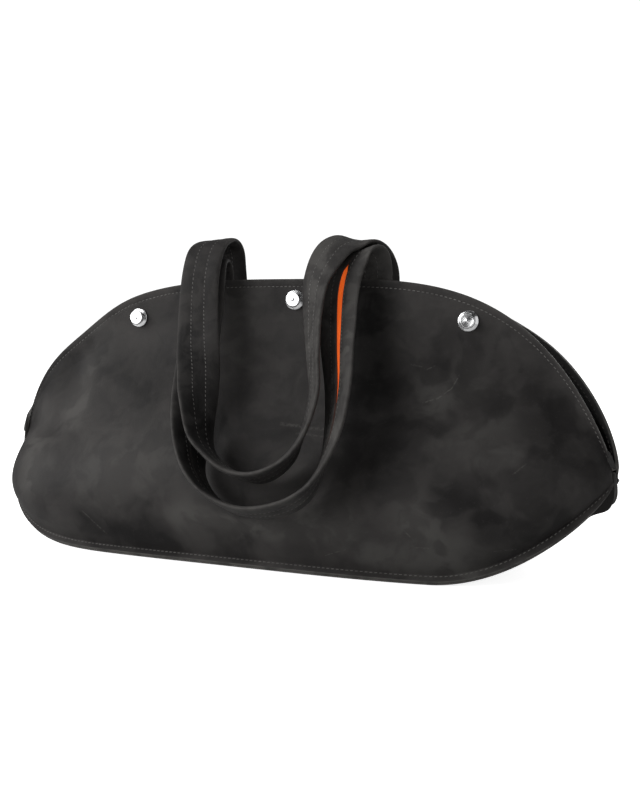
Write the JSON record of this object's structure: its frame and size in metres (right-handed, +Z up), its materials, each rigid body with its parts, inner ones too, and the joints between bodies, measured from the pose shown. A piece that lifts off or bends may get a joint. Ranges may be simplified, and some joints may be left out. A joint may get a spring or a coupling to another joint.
{
  "type": "travel bag",
  "caption": "Half-moon leather travel bag, soft and standing on its flat base, open along the top arc, with flopped carrying straps and chrome studs.",
  "frame": {"origin": "on the floor under the middle of the base, where the bag rests", "axes": "+X along the bag from its left tip to its right tip, -Y towards the front with the studs and straps, +Z up"},
  "size_m": [0.5964, 0.2403, 0.2947],
  "materials": {
    "leather": "waxed pull-up leather, charcoal, matt with cloudy lights",
    "core": "dyed orange, matt",
    "studs": "bright polished chrome"
  },
  "bodies": {
    "root": {"front_panel": "leather", "back_panel": "leather", "base_gusset": "leather", "handle_back": "leather", "handle_back_core": "core", "handle_front": "leather", "handle_front_core": "core", "stud_left": "studs", "stud_middle": "studs", "stud_right": "studs"}
  },
  "joints": []
}
